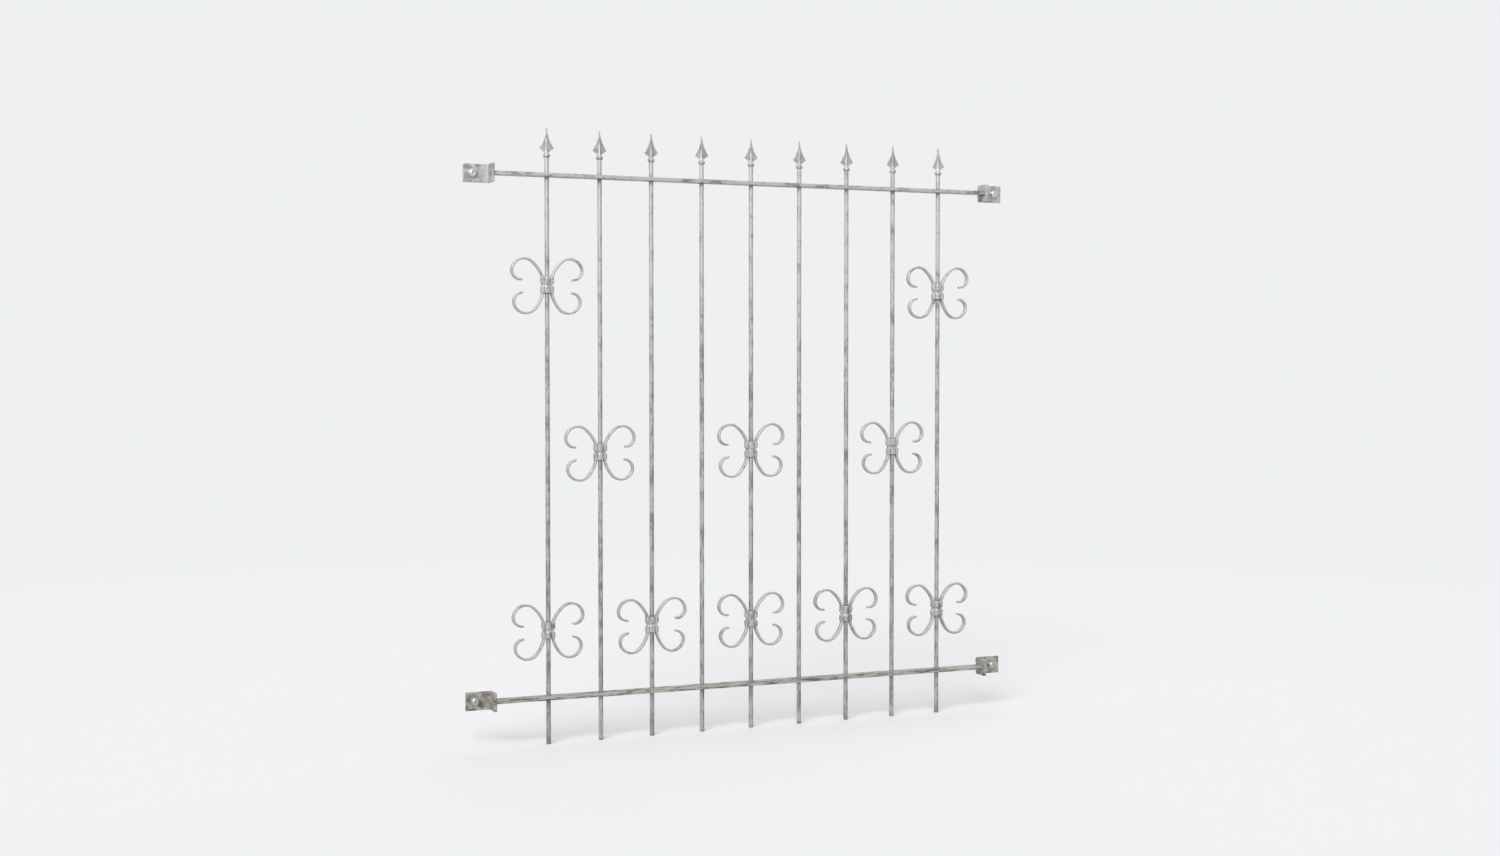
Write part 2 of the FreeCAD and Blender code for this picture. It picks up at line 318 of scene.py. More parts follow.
def rounded_corners(half_width, half_height, radius, steps=5):
    """Rounded rectangle as corner centres and unit directions.

    A point of the outline is its corner's centre plus the radius times its direction, and a smaller radius
    gives the same outline drawn in, which rounds the ends of a sweep.
    """
    a = (np.arange(4)[:, None] * 90.0 + np.linspace(0.0, 90.0, steps)).reshape(-1)
    directions = np.stack([np.cos(np.radians(a)), np.sin(np.radians(a))], axis=-1)
    signs = np.repeat(np.array([[1, 1], [-1, 1], [-1, -1], [1, -1]]), steps, axis=0)
    return signs * (np.array([half_width, half_height]) - radius), directions


def swept_flat(places, across, up, outline, radius):
    """Rounded rectangle carried along a path, with rounded ends.

    places are the path's points, across holds the unit vector in which the outline's first coordinate runs
    at each of them, and up is that of the second. Each end repeats its own place, moved in along the path by
    r - r sin b, while the outline is drawn in by r - r cos b, with b from 90 down to 0 degrees.
    """
    centres, directions = outline
    steps = 4
    b = np.linspace(math.pi / 2, 0.0, steps, endpoint=False)
    drawn = radius * np.cos(b)
    reach = radius * np.sin(b)
    start_way = places[1] - places[0]
    end_way = places[-1] - places[-2]
    start_way /= np.linalg.norm(start_way)
    end_way /= np.linalg.norm(end_way)
    inner_start = places[0] + radius * start_way
    inner_end = places[-1] - radius * end_way
    starts = inner_start - reach[:, None] * start_way
    ends = inner_end + reach[::-1, None] * end_way
    from_start = np.linalg.norm(places - places[0], axis=1)
    from_end = np.linalg.norm(places - places[-1], axis=1)
    inside = (from_start > radius) & (from_end > radius)
    route = np.concatenate([starts, inner_start[None], places[inside], inner_end[None], ends])
    sides = np.concatenate([
        np.repeat(across[:1], steps + 1, axis=0), across[inside], np.repeat(across[-1:], steps + 1, axis=0)])
    round_off = np.concatenate([drawn, np.full(2 + np.count_nonzero(inside), radius), drawn[::-1]])
    flat = centres[None] + round_off[:, None, None] * directions[None]
    return route[:, None] + flat[..., :1] * sides[:, None] + flat[..., 1:] * np.asarray(up)


def smooth_step(x):
    """0 below 0, 1 above 1, and 3x^2 - 2x^3 between."""
    x = np.clip(x, 0.0, 1.0)
    return x * x * (3 - 2 * x)


def bar_grid(node, chamfer):
    """Upright: a cylinder whose radius is drawn in by the chamfer at its cut foot, in two steps."""
    low, high = corners(node)
    x, y = (low[:2] + high[:2]) / 2
    knee = 0.3 * chamfer
    heights = np.array([low[2], low[2] + knee, low[2] + chamfer, high[2]])
    radii = BAR_RADIUS - np.array([chamfer, knee, 0.0, 0.0])
    return turned_surface(radii, heights, 48) + np.array([x, y, 0.0])


def fillet_grid(x, z, up, size):
    """Zinc fillet: a ring whose outside is the concave quarter round between an upright and a rail.

    At angle b the outside lies at radius R + s - s sin b and height s - s cos b. The ring closes inside the
    bar and the rail.
    """
    b = np.linspace(0.0, math.pi / 2, 6)
    in_bar = 0.9 * BAR_RADIUS
    in_rail = -0.2 * MM
    radii = np.concatenate([BAR_RADIUS + size * (1 - np.sin(b)), [in_bar, in_bar]])
    heights = np.concatenate([size * (1 - np.cos(b)), [size, in_rail]])
    return turned_surface(radii, up * heights, 32) + np.array([x, BAR_Y, z])


def rail_grid(level, edge):
    """Rail: a rounded rectangle carried along X."""
    centre = middle(f"{level}_rail")
    half_length = RAIL_SIZE[0] / 2
    x = np.linspace(-half_length, half_length, 9)
    places = np.stack([x, np.full_like(x, centre[1]), np.full_like(x, centre[2])], axis=-1)
    across = np.broadcast_to(np.array([0.0, 1.0, 0.0]), places.shape)
    outline = rounded_corners(RAIL_SIZE[1] / 2, RAIL_SIZE[2] / 2, edge)
    return swept_flat(places, across, (0.0, 0.0, 1.0), outline, edge)


def scroll_line(sizes):
    """Centre line of a right-hand scroll, from its foot's tip to its top's tip, with unit normals.

    The curvature is constant on each run. The heading is its running sum along the line, and the place is
    the running sum of the heading's sine (outwards) and cosine (upwards). The middle of the straight run
    lies at the collar's middle.
    """
    def curl(lean):
        return [
            (sizes.tip_turn * sizes.tip_radius, sizes.tip_radius),
            (sizes.head_turn * sizes.head_radius, sizes.head_radius),
            (sizes.shoulder_turn * sizes.shoulder_radius, sizes.shoulder_radius),
            (sizes.arm, math.inf),
            (lean * sizes.bend, sizes.bend),
        ]

    foot = curl(sizes.foot_lean)
    runs = foot + [(sizes.hug, math.inf)] + curl(sizes.top_lean)[::-1]
    lengths, radii = np.array(runs).T
    bends = 1.0 / radii
    ends = np.cumsum(lengths)
    fine_steps = 4000
    rows = 190
    step = ends[-1] / fine_steps
    s = (np.arange(fine_steps) + 0.5) * step
    turn = bends[np.searchsorted(ends, s)] * step
    heading = np.cumsum(turn) - turn / 2
    centre = np.searchsorted(s, ends[len(foot) - 1] + sizes.hug / 2)
    heading -= heading[centre]
    place = np.cumsum(np.stack([np.sin(heading), np.cos(heading)], axis=-1) * step, axis=0)
    place -= place[centre]
    place[:, 0] += BAR_RADIUS + sizes.seat + sizes.thickness / 2
    normals = np.stack([np.cos(heading), -np.sin(heading)], axis=-1)
    chosen = np.unique(np.linspace(0, fine_steps - 1, rows).astype(int))
    return place[chosen], normals[chosen]


def scroll_grid(node, side, sizes):
    """C-scroll: a strip with rounded edges along the scroll's centre line, on one side of a collar."""
    centre = middle(node)
    place, normal = scroll_line(sizes)
    flat = np.zeros(len(place))
    places = centre + np.stack([side * place[:, 0], flat, place[:, 1]], axis=-1)
    across = np.stack([side * normal[:, 0], flat, normal[:, 1]], axis=-1)
    outline = rounded_corners(sizes.thickness / 2, sizes.depth / 2, sizes.edge)
    end_radius = 0.8 * sizes.edge
    return swept_flat(places, across, (0.0, 1.0, 0.0), outline, end_radius)


def collar_grid(node, sizes):
    """Ribbed collar: a squarish ring whose size swells into a rib above and below a waist.

    At angle a the ring lies at x = W |cos a|^q and y = D |sin a|^q, with the signs of cos a and sin a. A
    bell-shaped swelling in front of the upright and a bell-shaped groove beside it are added to y, faded out
    at the sides and lower at the waist. W and D grow from waist to rib by a smooth step of the height, and
    draw in round the rims. The ribs' sides are barrel-shaped.
    """
    q = 0.4
    rib_rows = 30
    barrel_depth = 0.4 * MM
    side_fade = 0.5
    waist_swell, waist_groove = 0.4, 0.3
    centre = middle(node)
    width, depth, height = extent(node) / 2
    depth -= sizes.lobe
    rim = sizes.rim_edge
    b = np.linspace(0.0, math.pi / 2, 6)[1:]
    upper = np.concatenate([np.linspace(0.0, height - rim, rib_rows), height - rim + rim * np.sin(b)])
    z = np.concatenate([-upper[:0:-1], upper])
    drawn = np.concatenate([np.zeros(rib_rows), rim * (1 - np.cos(b))])
    drawn = np.concatenate([drawn[:0:-1], drawn])
    above_waist = np.abs(z) - sizes.waist_height / 2
    rib = smooth_step(above_waist / sizes.slope)
    barrel = np.sin(math.pi * np.clip(above_waist / (height - sizes.waist_height / 2), 0, 1))
    half_width = width - sizes.waist_inset * (1 - rib) - drawn - barrel_depth * (1 - barrel)
    half_depth = depth - sizes.face_inset * (1 - rib) - drawn
    a = full_turn(128)
    cosine, sine = np.cos(a), np.sin(a)
    x = half_width[:, None] * np.sign(cosine) * np.abs(cosine) ** q
    y = half_depth[:, None] * np.sign(sine) * np.abs(sine) ** q
    groove_place = 1.5 * sizes.lobe_width
    groove_width = 0.3 * sizes.lobe_width
    rib = rib[:, None]
    swell = sizes.lobe * np.exp(-(np.abs(x) / sizes.lobe_width) ** 3)
    swell = swell * (waist_swell + (1 - waist_swell) * rib)
    groove = sizes.groove * np.exp(-(((np.abs(x) - groove_place) / groove_width) ** 2))
    groove = groove * (waist_groove + (1 - waist_groove) * rib)
    y += np.sign(sine) * smooth_step(np.abs(sine) / side_fade) * (swell - groove)
    return centre + np.stack([x, y, np.broadcast_to(z[:, None], x.shape)], axis=-1)


def bead_grid(x, sizes):
    """Bead of a finial: a flattened ball, cut by its seat on the upright and by the neck above.

    The radius at height h is R sqrt(1 - ((h - m) / k)^2), with m half the bead's height and k chosen so that
    the ball meets the upright at the seat.
    """
    h = np.linspace(0.0, sizes.bead_height, 22)
    half = sizes.bead_height / 2
    k = half / math.sqrt(1 - (BAR_RADIUS / sizes.bead_radius) ** 2)
    radii = sizes.bead_radius * np.sqrt(1 - ((h - half) / k) ** 2)
    return turned_surface(radii, h, 40) + np.array([x, BAR_Y, FINIAL_BASE])


def bead_weld_grid(x, sizes):
    """Weld under a bead: a lumpy ring round the upright.

    Its radius and height sway with the angle by two sines, whose phase comes from x, so no two are alike.
    """
    a = full_turn(48)
    b = full_turn(12)[:, None]
    sway = 0.6 * np.sin(2 * a + 300 * x) + 0.4 * np.sin(5 * a + 170 * x)
    tube = sizes.weld * (1 + 0.5 * sway)
    radii = BAR_RADIUS + 0.2 * sizes.weld + tube * np.cos(b)
    heights = sizes.weld * sway + tube * np.sin(b)
    return polar_grid(radii, heights) + np.array([x, BAR_Y, FINIAL_BASE])


def blade_grid(x, sizes):
    """Blade of a finial: a dished plate with a round rib that leaves the neck and fades towards the tip.

    The half-width runs from the neck to the blunt shoulder and then along a hollow side, which is the
    straight line drawn in by 4 d u (1 - u) for u from shoulder to tip, and the tip is a half circle. The
    plate is thinner inside its rim, a bell-shaped rib is added to it, and its edge is rounded by
    (1 - s^12)^(1/2) at a share s of the half-width. Near the bead the section turns into the round neck.
    """
    in_bead = 1.5 * MM
    worn_reach = 0.8 * MM
    rim = 3 * MM
    dish_run = 7 * MM
    neck_blend = 3.2 * sizes.neck_run
    thinnest = 0.7 * sizes.edge_half
    narrowest_tip = 0.15
    rib_end_width = 0.4
    b = np.linspace(0.0, math.pi / 2, 8)[1:]
    tip_base = FINIAL_HEIGHT - sizes.tip_half
    h = np.concatenate([
        np.linspace(sizes.bead_height - in_bead, sizes.shoulder_low, 16),
        np.linspace(sizes.shoulder_low, sizes.shoulder_high, 6)[1:],
        np.linspace(sizes.shoulder_high, tip_base, 30)[1:],
        tip_base + sizes.tip_half * np.sin(b)])
    neck_top = sizes.bead_height + sizes.neck_run
    rise = np.clip((h - neck_top) / (sizes.shoulder_low - neck_top), 0.0, 1.0) ** 1.15
    u = np.clip((h - sizes.shoulder_high) / (tip_base - sizes.shoulder_high), 0.0, 1.0)
    half = sizes.neck + (sizes.shoulder_half - sizes.neck) * rise
    half += (sizes.tip_half - sizes.shoulder_half) * u - 4 * sizes.side_hollow * u * (1 - u)
    for corner, worn in ((sizes.shoulder_low, 0.5 * MM), (sizes.shoulder_high, 0.3 * MM)):
        half -= worn * np.exp(-(((h - corner) / worn_reach) ** 2))
    tip = np.ones_like(h)
    tip[-len(b):] = np.maximum(np.cos(b), narrowest_tip)
    half = (half * tip)[:, None]
    a = full_turn(120)
    crowding = 1.4  # gathers the columns at the rib
    share = np.sign(np.cos(a)) * np.abs(np.cos(a)) ** crowding
    across = half * share
    inside = smooth_step((half - np.abs(across)) / rim) * smooth_step((half - rim) / dish_run)
    fade = np.clip((sizes.rib_end - h) / (sizes.rib_end - sizes.bead_height), 0.0, 1.0)[:, None]
    rib_width = sizes.rib_half * (rib_end_width + (1 - rib_end_width) * fade)
    bell = np.exp(-((across / rib_width) ** 2))
    thickness = sizes.edge_half - sizes.dish * inside + (sizes.neck - sizes.edge_half) * fade**1.2 * bell
    round_neck = np.sqrt(np.maximum(sizes.neck**2 - across**2, 0.0))
    blend = 1 - smooth_step((h - sizes.bead_height) / neck_blend)[:, None]
    thickness = np.maximum(thickness + (round_neck - thickness) * blend, thinnest) * tip[:, None]
    y = np.sign(np.sin(a)) * thickness * np.sqrt(np.clip(1 - share**12, 0.0, 1.0))
    z = np.broadcast_to(h[:, None], across.shape)
    return np.stack([across, y, z], axis=-1) + np.array([x, BAR_Y, FINIAL_BASE])


def bracket_grid(level, side, sizes):
    """Wall bracket: the section of an angle carried up Z, with worn edges all round.

    Each corner of the section is a quarter circle about its own centre, outside corners of the worn edge's
    radius and the root of its own. Drawing the section in by d takes d from an outside radius and adds d to
    the root's. At the saw cuts, d is r - r sin b at a height of r cos 15 - r cos b from the end, with b from
    15 to 90 degrees. Returns the grid and the columns of the two faces of its L-shaped caps, which meet from
    heel to root.
    """
    low, high = corners(f"{level}_{side}_bracket")
    leg, flange, height = high - low
    r, root, plate = sizes.edge, sizes.root, sizes.plate
    # Centre, first and last angle, and radius of each corner
    quarters = (
        (r, r, 180.0, 270.0, r),
        (leg - r, r, 270.0, 360.0, r),
        (leg - r, plate - r, 0.0, 90.0, r),
        (plate + root, plate + root, 270.0, 180.0, root),
        (plate - r, flange - r, 0.0, 90.0, r),
        (r, flange - r, 90.0, 180.0, r),
    )
    steps = 6
    a = np.radians(np.concatenate([np.linspace(first, last, steps) for _, _, first, last, _ in quarters]))
    centre_x, centre_y, first, last, radii = np.repeat(np.array(quarters), steps, axis=0).T
    inwards = np.where(last > first, 1.0, -1.0)
    b = np.radians(np.linspace(15.0, 90.0, 5))
    cut = r - r * np.sin(b)
    drawn = np.concatenate([cut, [0.0, 0.0, 0.0], cut[::-1]])
    rise = r * (np.cos(b[0]) - np.cos(b))
    z = np.concatenate([rise, height * np.array([0.25, 0.5, 0.75]), (height - rise)[::-1]])
    reach = radii - inwards * drawn[:, None]
    along = centre_x + reach * np.cos(a)
    out = centre_y + reach * np.sin(a)
    rail_side = low[0] if SIDES[side] > 0 else high[0]
    x = rail_side + SIDES[side] * along
    grid = np.stack([x, high[1] - out, low[2] + np.broadcast_to(z[:, None], x.shape)], axis=-1)
    heel = steps // 2
    root_middle = 3 * steps + heel
    leg_face = np.arange(heel, root_middle + 1)
    flange_face = np.concatenate([np.arange(root_middle, len(quarters) * steps), np.arange(heel + 1)])
    return grid, [leg_face, flange_face]


def screw_places(sizes):
    """Point where each wall screw's axis meets the wall's face."""
    out = float(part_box("upper_right_bracket")[1].x) - sizes.screw_inset
    return [np.array([sign * out, 0.0, RAIL_Z[level]]) for level in LEVELS for sign in SIDES.values()]


def along_screw(grid, place):
    """Turns a grid made about +Z so that +Z runs along +Y, into the wall, at a screw's place."""
    return np.stack([grid[..., 0], grid[..., 2], -grid[..., 1]], axis=-1) + place


def washer_grid(place, sizes):
    """Washer: a rounded rectangle turned round the screw, closing on itself both ways."""
    low, high = corners("wall_washers")
    outer = high[0] - abs(place[0])
    play = 1.0 * MM
    inner = sizes.neck_radius + play
    centres, directions = rounded_corners((outer - inner) / 2, (high[1] - low[1]) / 2, sizes.washer_edge)
    section = centres + sizes.washer_edge * directions
    radii = (outer + inner) / 2 + section[:, 0]
    heights = (high[1] + low[1]) / 2 + section[:, 1]
    return along_screw(turned_surface(radii, heights, 48), place)


def screw_head_grid(place, sizes):
    """Screw: a domed head with a hexagon socket, and a plain neck.

    The dome is a quarter ellipse from the rim to the socket's edge. Inside the socket the radius follows a
    hexagon, f / cos(c) with c the angle from the middle of a flat, and the floor is a shallow cone.
    """
    washer_low = float(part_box("wall_washers")[0].y)
    crown = float(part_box("wall_screws")[0].y)
    rim = washer_low - sizes.head_rim
    rim_edge = 0.4 * MM
    neck_end = 0.5 * MM
    socket_edge = 1.28 * sizes.socket
    columns = 72
    b = np.linspace(0.0, math.pi / 2, 14)
    round_radii = np.concatenate([
        [sizes.neck_radius, sizes.neck_radius, sizes.head_radius - rim_edge, sizes.head_radius],
        socket_edge + (sizes.head_radius - socket_edge) * np.cos(b)])
    round_heights = np.concatenate([
        [neck_end, washer_low, washer_low, washer_low - rim_edge], rim + (crown - rim) * np.sin(b)])
    shell = turned_surface(round_radii, round_heights, columns)
    # Share of the socket's half-width, and depth under the crown, from its edge to the bottom of the cone
    socket_rows = np.array([
        (1.0, 0.25 * MM),
        (0.97, sizes.socket_depth),
        (0.9, sizes.socket_depth + 0.3 * MM),
        (0.3, sizes.socket_depth + 1.0 * MM),
    ])
    flats = 1.0 / np.cos(np.mod(full_turn(columns), math.pi / 3) - math.pi / 6)
    socket = polar_grid(sizes.socket * socket_rows[:, :1] * flats, crown + socket_rows[:, 1:])
    return along_screw(np.concatenate([shell, socket]), place)


def thread_grid(place, sizes):
    """Threaded shank: the radius falls from the crest to the root by 1 - t^3, with t = (1 + cos p) / 2.

    The phase p turns once per pitch along the height, less once round the axis, so the crest winds along the
    screw. The thread fades in at the wall's face, and the shank tapers to a blunt point.
    """
    fade_run = 6 * MM
    point_run = 9 * MM
    point_taper = 0.55
    reach = float(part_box("wall_screws")[1].y)
    h = np.linspace(0.0, reach, 300)[:, None]
    phase = h / sizes.thread_pitch - full_turn(40) / (2 * math.pi)
    crest = ((1 + np.cos(2 * math.pi * phase)) / 2) ** 3
    fade = smooth_step(h / fade_run)
    point = smooth_step((h - (reach - point_run)) / point_run)
    radii = (sizes.shank_radius - sizes.thread_depth * fade * (1 - crest)) * (1 - point_taper * point)
    return along_screw(polar_grid(radii, h), place)


def weld_grid(level, side, sizes):
    """Weld round a rail's end: a lumpy tube along the rail's outline, against the flange.

    The tube's radius swells and falls along the outline by a sum of sines, as the pools of a hand-laid weld
    do, and each weld has its own phase. The tube is an ellipse, flatter along the rail.
    """
    corner = 1.5 * MM
    in_rail = 0.3 * MM
    centre = middle(f"{level}_rail")
    sign = SIDES[side]
    end = sign * (RAIL_SIZE[0] / 2 - in_rail)
    centres, directions = rounded_corners(RAIL_SIZE[1] / 2, RAIL_SIZE[2] / 2, corner, steps=9)
    outline = centres + corner * directions
    ring = np.concatenate([outline, outline[:1]])
    runs = np.concatenate([[0.0], np.cumsum(np.linalg.norm(np.diff(ring, axis=0), axis=1))])
    s = np.linspace(0.0, runs[-1], 180, endpoint=False)
    y = np.interp(s, runs, ring[:, 0])
    z = np.interp(s, runs, ring[:, 1])
    way = np.stack([np.gradient(y), np.gradient(z)], axis=-1)
    way /= np.linalg.norm(way, axis=1)[:, None]
    out = np.stack([way[:, 1], -way[:, 0]], axis=-1)
    turn = 2 * math.pi * s / runs[-1]
    phase = 1.7 * (level == "upper") + 0.9 * (sign > 0)
    lumps = 1 + 0.16 * np.sin(11 * turn + phase) + 0.14 * np.sin(5 * turn + 2 * phase)
    lumps += 0.06 * np.sin(23 * turn)
    along_share, out_share = 0.75, 0.8
    tube = sizes.weld_radius * lumps[:, None]
    a = full_turn(14)
    x = end - sign * tube * along_share * np.cos(a)
    proud = tube * out_share * np.sin(a)
    y = centre[1] + y[:, None] + proud * out[:, :1]
    z = centre[2] + z[:, None] + proud * out[:, 1:]
    return np.stack([x, y, z], axis=-1)


# Finishes

# Sockets of a Mix node: its share, a pair for numbers and a pair for colours, and what comes out
SHARE, NUMBER_A, NUMBER_B, COLOUR_A, COLOUR_B = 0, 2, 3, 6, 7
MIXED_NUMBER, MIXED_COLOUR = 0, 2

# Heights in the frame between which the zinc grows lighter upwards, and between which the finish grows
# darker downwards: dust and dirt on the zinc, painted shade on the screws
LIGHTER_UP = (0.10, 0.42)
DARKER_DOWN = (0.45, -0.60)


def add_node(tree, kind, inputs=None, **settings):
    """Adds a node with its settings; inputs gives each socket a value, or another node's output to link."""
    node = tree.nodes.new(kind)
    for name, value in settings.items():
        setattr(node, name, value)
    for name, value in (inputs or {}).items():
        if isinstance(value, bpy.types.NodeSocket):
            tree.links.new(value, node.inputs[name])
        else:
            node.inputs[name].default_value = value
    return node


def new_material(name):
    """Empty material, ready for nodes, and its node tree."""
    material = bpy.data.materials.new(name)
    material.use_nodes = True
    material.node_tree.nodes.clear()
    return material, material.node_tree


def finish_colours():
    """Colours that the user has set."""
    return bpy.context.scene.grille_finish


def height_share(tree, place, heights, most):
    """Share that grows from none to most between two heights."""
    start, end = heights
    height = add_node(tree, "ShaderNodeSeparateXYZ", {0: place})
    share = add_node(tree, "ShaderNodeMapRange", {
        "Value": height.outputs["Z"], "From Min": start, "From Max": end, "To Max": most})
    return share.outputs["Result"]


def shut_in_share(tree, reach, free, shut, most, **settings):
    """Share that grows from none to most as the part of directions that are open within reach falls.

    free and shut are that part where the share begins and where it is full. With inside set, the directions
    are those into the metal, so it is narrow ridges that count as shut in.
    """
    around = add_node(tree, "ShaderNodeAmbientOcclusion", {"Distance": reach}, samples=8, **settings)
    share = add_node(tree, "ShaderNodeMapRange", {
        "Value": around.outputs["AO"], "From Min": free, "From Max": shut, "To Max": most})
    return share.outputs["Result"]


def zinc_mottle(tree, place, streak, patch):
    """Cloudy patches and drawn-out runs of zinc, with faint soft crystals and grain.

    Returns the blend of all of them and the runs alone, both near 0.5.
    """
    crystal_size = 6.0 * MM
    grain_size = 2.2 * MM
    patches = add_node(tree, "ShaderNodeTexNoise", {
        "Vector": place, "Scale": 1 / (patch * MM), "Detail": 3.0, "Roughness": 0.6, "Distortion": 0.4})
    run_place = add_node(tree, "ShaderNodeMapping", {
        "Vector": place, "Scale": tuple(1 / (size * MM) for size in streak)})
    runs = add_node(tree, "ShaderNodeTexNoise", {
        "Vector": run_place.outputs["Vector"], "Scale": 1.0, "Detail": 3.0, "Roughness": 0.62})
    crystals = add_node(tree, "ShaderNodeTexVoronoi", {
        "Vector": place, "Scale": 1 / crystal_size, "Smoothness": 1.0}, feature="SMOOTH_F1")
    crystals = add_node(tree, "ShaderNodeSeparateColor", {0: crystals.outputs["Color"]})
    grain = add_node(tree, "ShaderNodeTexNoise", {"Vector": place, "Scale": 1 / grain_size, "Detail": 2.0})
    blend = runs.outputs["Fac"]
    for layer, share in (
            (patches.outputs["Fac"], 0.45), (crystals.outputs[0], 0.07), (grain.outputs["Fac"], 0.08)):
        mix = add_node(tree, "ShaderNodeMix", {
            SHARE: share, NUMBER_A: blend, NUMBER_B: layer}, data_type="FLOAT")
        blend = mix.outputs[MIXED_NUMBER]
    return blend, runs.outputs["Fac"]


def dirt_and_shade_share(tree, runs, low_down, grime, ledge, hollows):
    """Share of the grime colour: dirt in streaks, dirt and painted shade on ledges, both growing low down,
    and dirt and painted shade in hollows at any height.
    """
    facing = add_node(tree, "ShaderNodeNewGeometry")
    facing = add_node(tree, "ShaderNodeSeparateXYZ", {0: facing.outputs["Normal"]})
    # Dirt and painted shade on up-facing faces.
    ledge_dirt_and_shade = add_node(tree, "ShaderNodeMapRange", {
        "Value": facing.outputs["Z"], "From Min": 0.55, "From Max": 0.95, "To Max": ledge})
    streaks = add_node(tree, "ShaderNodeMapRange", {
        "Value": runs, "From Min": 0.54, "From Max": 0.38, "To Max": grime})
    dirt_and_shade = add_node(tree, "ShaderNodeMath", {
        0: streaks.outputs["Result"], 1: ledge_dirt_and_shade.outputs["Result"]}, operation="MAXIMUM")
    dirt_and_shade = add_node(tree, "ShaderNodeMath", {0: dirt_and_shade.outputs[0], 1: low_down}, operation="MULTIPLY")
    # Dirt and painted shade in hollows and between parts, where little is open around.
    hollow_dirt_and_shade = shut_in_share(tree, 6.0 * MM, free=0.92, shut=0.4, most=hollows)
    dirt_and_shade = add_node(tree, "ShaderNodeMath", {0: dirt_and_shade.outputs[0], 1: hollow_dirt_and_shade}, operation="MAXIMUM")
    return dirt_and_shade.outputs[0]


def weathered_zinc(
        name, streak, dull, dust, patch=26.0, soft=1.0, top_lightening=0.0, grime=0.25, ledge=0.0, hollows=0.5,
        ridges=0.0, polish=0.0):
    """Hot-dip galvanised steel after years outdoors.

    The dip leaves frosty crystals and thick and thin runs of zinc, which weather to light and dull patches
    with a soft sheen, so the eye sees mottled light grey. The zinc is lighter towards the top, dust gives
    the lower part a warmer cast, and streaks of brown-grey dirt run over it. Up-facing faces and hollows are
    darkened with the grime colour, as dirt and painted shade, and narrow ridges get a painted highlight in
    bright zinc.

    streak is the runs' size in millimetres along X, Y and Z, patch is that of the patches, soft is how
    gently light and dull ones meet, and polish makes the sheen glossier. The others say how much there is of
    each, from none at 0 to all over at 1.
    """
    colours = finish_colours()
    material, tree = new_material(name)
    place = add_node(tree, "ShaderNodeTexCoord").outputs["Object"]
    mottle, runs = zinc_mottle(tree, place, streak, patch)
    # The mottle is raised towards the top, so the zinc is lighter there.
    lightened_top = height_share(tree, place, LIGHTER_UP, 0.10 * top_lightening)
    low_down = height_share(tree, place, DARKER_DOWN, 1.0)

    # Zinc is light where the mottle, which lies near 0.5, is above this edge
    mottle = add_node(tree, "ShaderNodeMath", {0: mottle, 1: lightened_top}, operation="ADD")
    edge = 0.36 + 0.30 * dull
    fresh = add_node(tree, "ShaderNodeMapRange", {
        "Value": mottle.outputs[0], "From Min": edge - 0.07 * soft, "From Max": edge + 0.05 * soft})
    zinc = add_node(tree, "ShaderNodeMix", {
        SHARE: fresh.outputs["Result"], COLOUR_A: colours.zinc_dark, COLOUR_B: colours.zinc_light},
        data_type="RGBA")
    # Painted highlight: narrow ridges, found by occlusion inside the metal, are painted in bright zinc.
    if ridges:
        painted_ridge_highlight = shut_in_share(
            tree, 1.2 * MM, free=0.99, shut=0.85, most=ridges, inside=True, only_local=True)
        zinc = add_node(tree, "ShaderNodeMix", {
            SHARE: painted_ridge_highlight, COLOUR_A: zinc.outputs[MIXED_COLOUR], COLOUR_B: colours.bright_zinc_and_highlight},
            data_type="RGBA")

    dust_cover = add_node(tree, "ShaderNodeMath", {0: low_down, 1: dust}, operation="MULTIPLY")
    dusty = add_node(tree, "ShaderNodeMix", {
        SHARE: dust_cover.outputs[0], COLOUR_A: zinc.outputs[MIXED_COLOUR], COLOUR_B: colours.zinc_warm},
        data_type="RGBA")
    dirt_and_shade = dirt_and_shade_share(tree, runs, low_down, grime, ledge, hollows)
    coat = add_node(tree, "ShaderNodeMix", {
        SHARE: dirt_and_shade, COLOUR_A: dusty.outputs[MIXED_COLOUR], COLOUR_B: colours.grime}, data_type="RGBA")

    sheen = add_node(tree, "ShaderNodeMapRange", {
        "Value": fresh.outputs["Result"], "To Min": 0.60 - 0.16 * polish, "To Max": 0.42 - 0.14 * polish})
    roughness = add_node(tree, "ShaderNodeMix", {
        SHARE: dirt_and_shade, NUMBER_A: sheen.outputs["Result"], NUMBER_B: 0.95}, data_type="FLOAT")
    metal = add_node(tree, "ShaderNodeMapRange", {"Value": dirt_and_shade, "To Min": 0.35, "To Max": 0.0})
    gloss = add_node(tree, "ShaderNodeMapRange", {"Value": dirt_and_shade, "To Min": 0.5, "To Max": 0.05})
    lump_size = 5.0 * MM
    lump_height = 0.4 * MM
    lumps = add_node(tree, "ShaderNodeTexNoise", {"Vector": place, "Scale": 1 / lump_size, "Detail": 3.0})
    bump = add_node(tree, "ShaderNodeBump", {
        "Height": lumps.outputs["Fac"], "Strength": 0.3, "Distance": lump_height})
    shader = add_node(tree, "ShaderNodeBsdfPrincipled", {
        "Base Color": coat.outputs[MIXED_COLOUR],
        "Metallic": metal.outputs["Result"],
        "Roughness": roughness.outputs[MIXED_NUMBER],
        "Specular IOR Level": gloss.outputs["Result"],
        "Normal": bump.outputs["Normal"]})
    add_node(tree, "ShaderNodeOutputMaterial", {"Surface": shader.outputs["BSDF"]})
    return material


def galvanised_bar():
    """Zinc on round bar, which runs down the bar as it drains."""
    return weathered_zinc(
        "galvanised_round_bar", streak=(9.0, 9.0, 40.0), patch=34.0, soft=1.1, dull=0.46, top_lightening=0.6,
        dust=0.32, grime=0.3)


